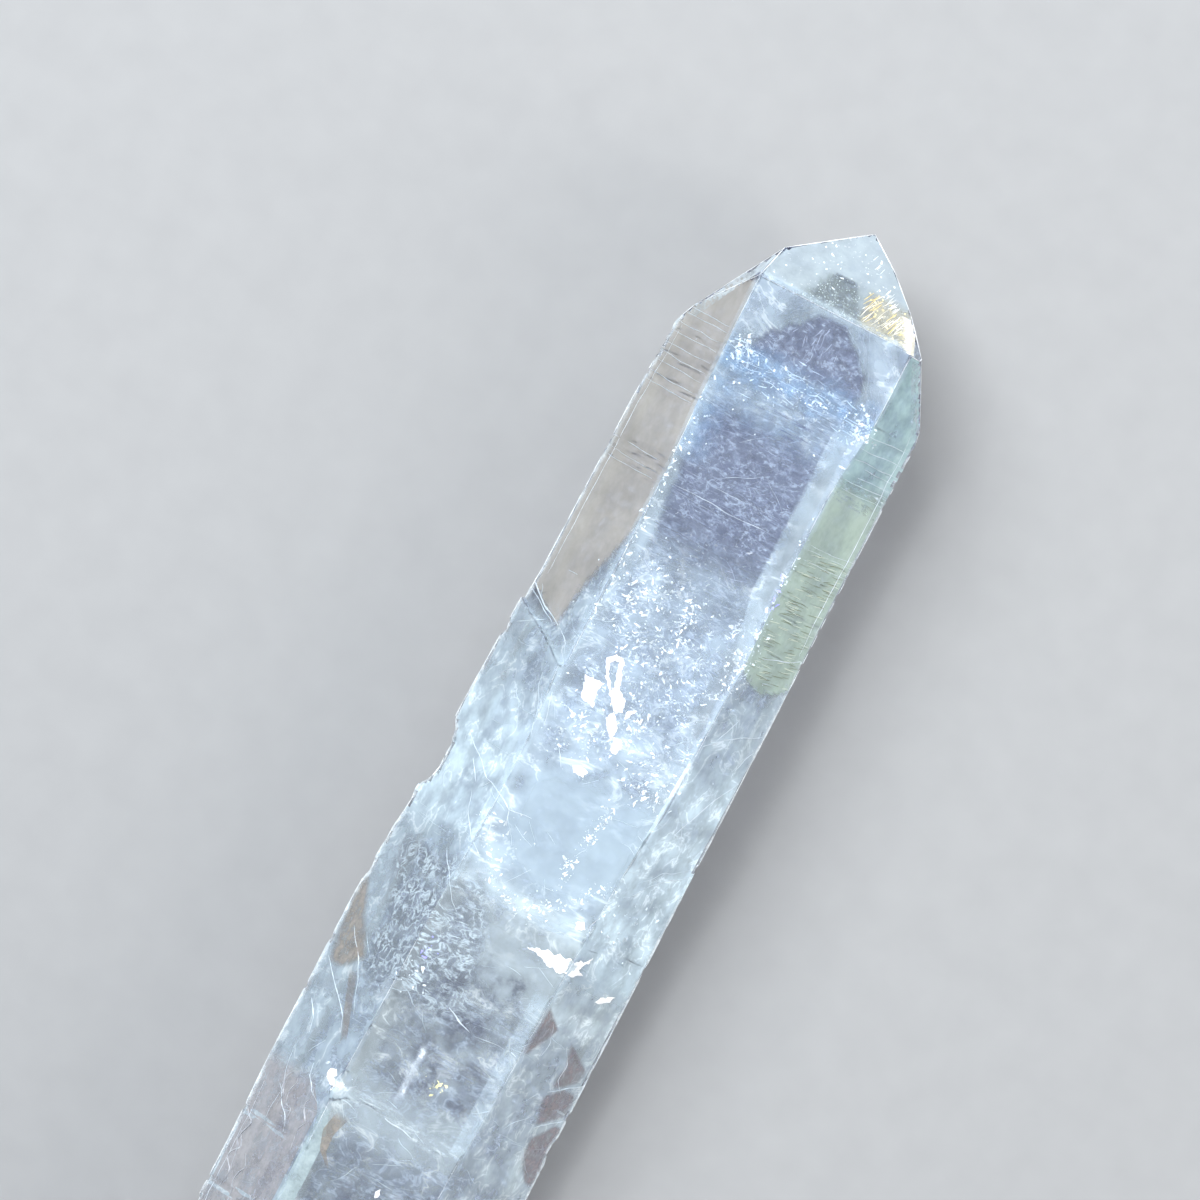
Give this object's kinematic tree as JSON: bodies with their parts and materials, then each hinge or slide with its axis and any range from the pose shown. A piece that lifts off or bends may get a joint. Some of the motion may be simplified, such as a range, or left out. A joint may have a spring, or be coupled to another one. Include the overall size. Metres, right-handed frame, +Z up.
{
  "type": "lemurian quartz crystal",
  "caption": "Clear quartz point: a tapering six-sided prism with cross grooves, a pyramid tip, edge chips and a broken root.",
  "frame": {"origin": "centre of the bounding box in plan, at the height of the back prism face that the crystal lies on", "axes": "+Y along the crystal towards its point, +Z up out of the front prism face, +X to the right"},
  "size_m": [0.0248, 0.118, 0.017],
  "materials": {
    "quartz": "natural, clear with milky veils"
  },
  "bodies": {
    "root": {"crystal": "quartz"}
  },
  "joints": []
}
